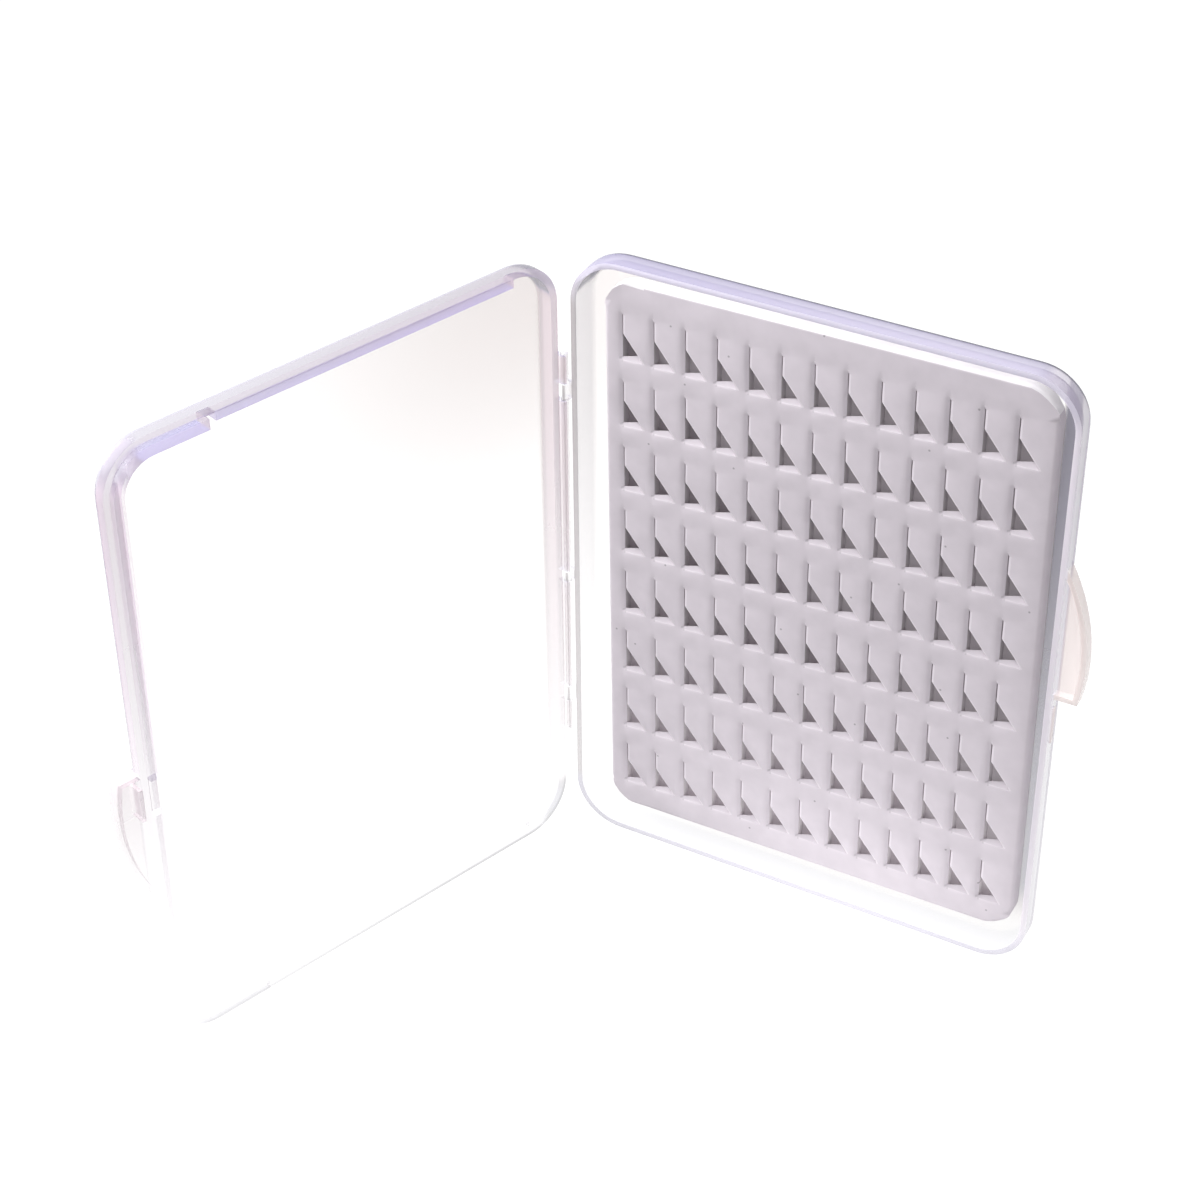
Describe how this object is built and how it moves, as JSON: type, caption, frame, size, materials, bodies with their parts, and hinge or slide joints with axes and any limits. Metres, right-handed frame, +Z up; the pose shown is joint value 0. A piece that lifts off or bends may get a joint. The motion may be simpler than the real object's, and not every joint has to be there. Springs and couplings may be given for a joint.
{
  "type": "fly box",
  "caption": "Slim clear hinged fly box standing open on a short side, with a slit foam pad in its tray, staggered thumb tabs and a snap catch.",
  "frame": {"origin": "middle of the flat face that the tray stands on, at the floor", "axes": "+Z up along the hinge side; +X from the tray's hinged side to its free side; +Y from the tray's open front to its back panel, so the tray's inside faces -Y"},
  "size_m": [0.1371, 0.1019, 0.127],
  "materials": {
    "tray_plastic": "clear moulded polypropylene, faintly lavender, glossy",
    "lid_plastic": "clear moulded polypropylene, faintly pink, glossy",
    "foam": "matte closed-cell EVA foam, pale grey-lilac",
    "adhesive": "double-sided adhesive sheet"
  },
  "bodies": {
    "tray": {"tray_shell": "tray_plastic", "foam_pad": "foam", "adhesive_sheet": "adhesive"},
    "lid": {"lid_shell": "lid_plastic"}
  },
  "joints": [
    {"name": "lid_hinge", "type": "hinge", "parent": "tray", "child": "lid", "pos_m": [-0.04865, -0.00175, 0.0635], "axis": [0, 0, 1], "range_deg": [-80.6, 109.4]}
  ]
}
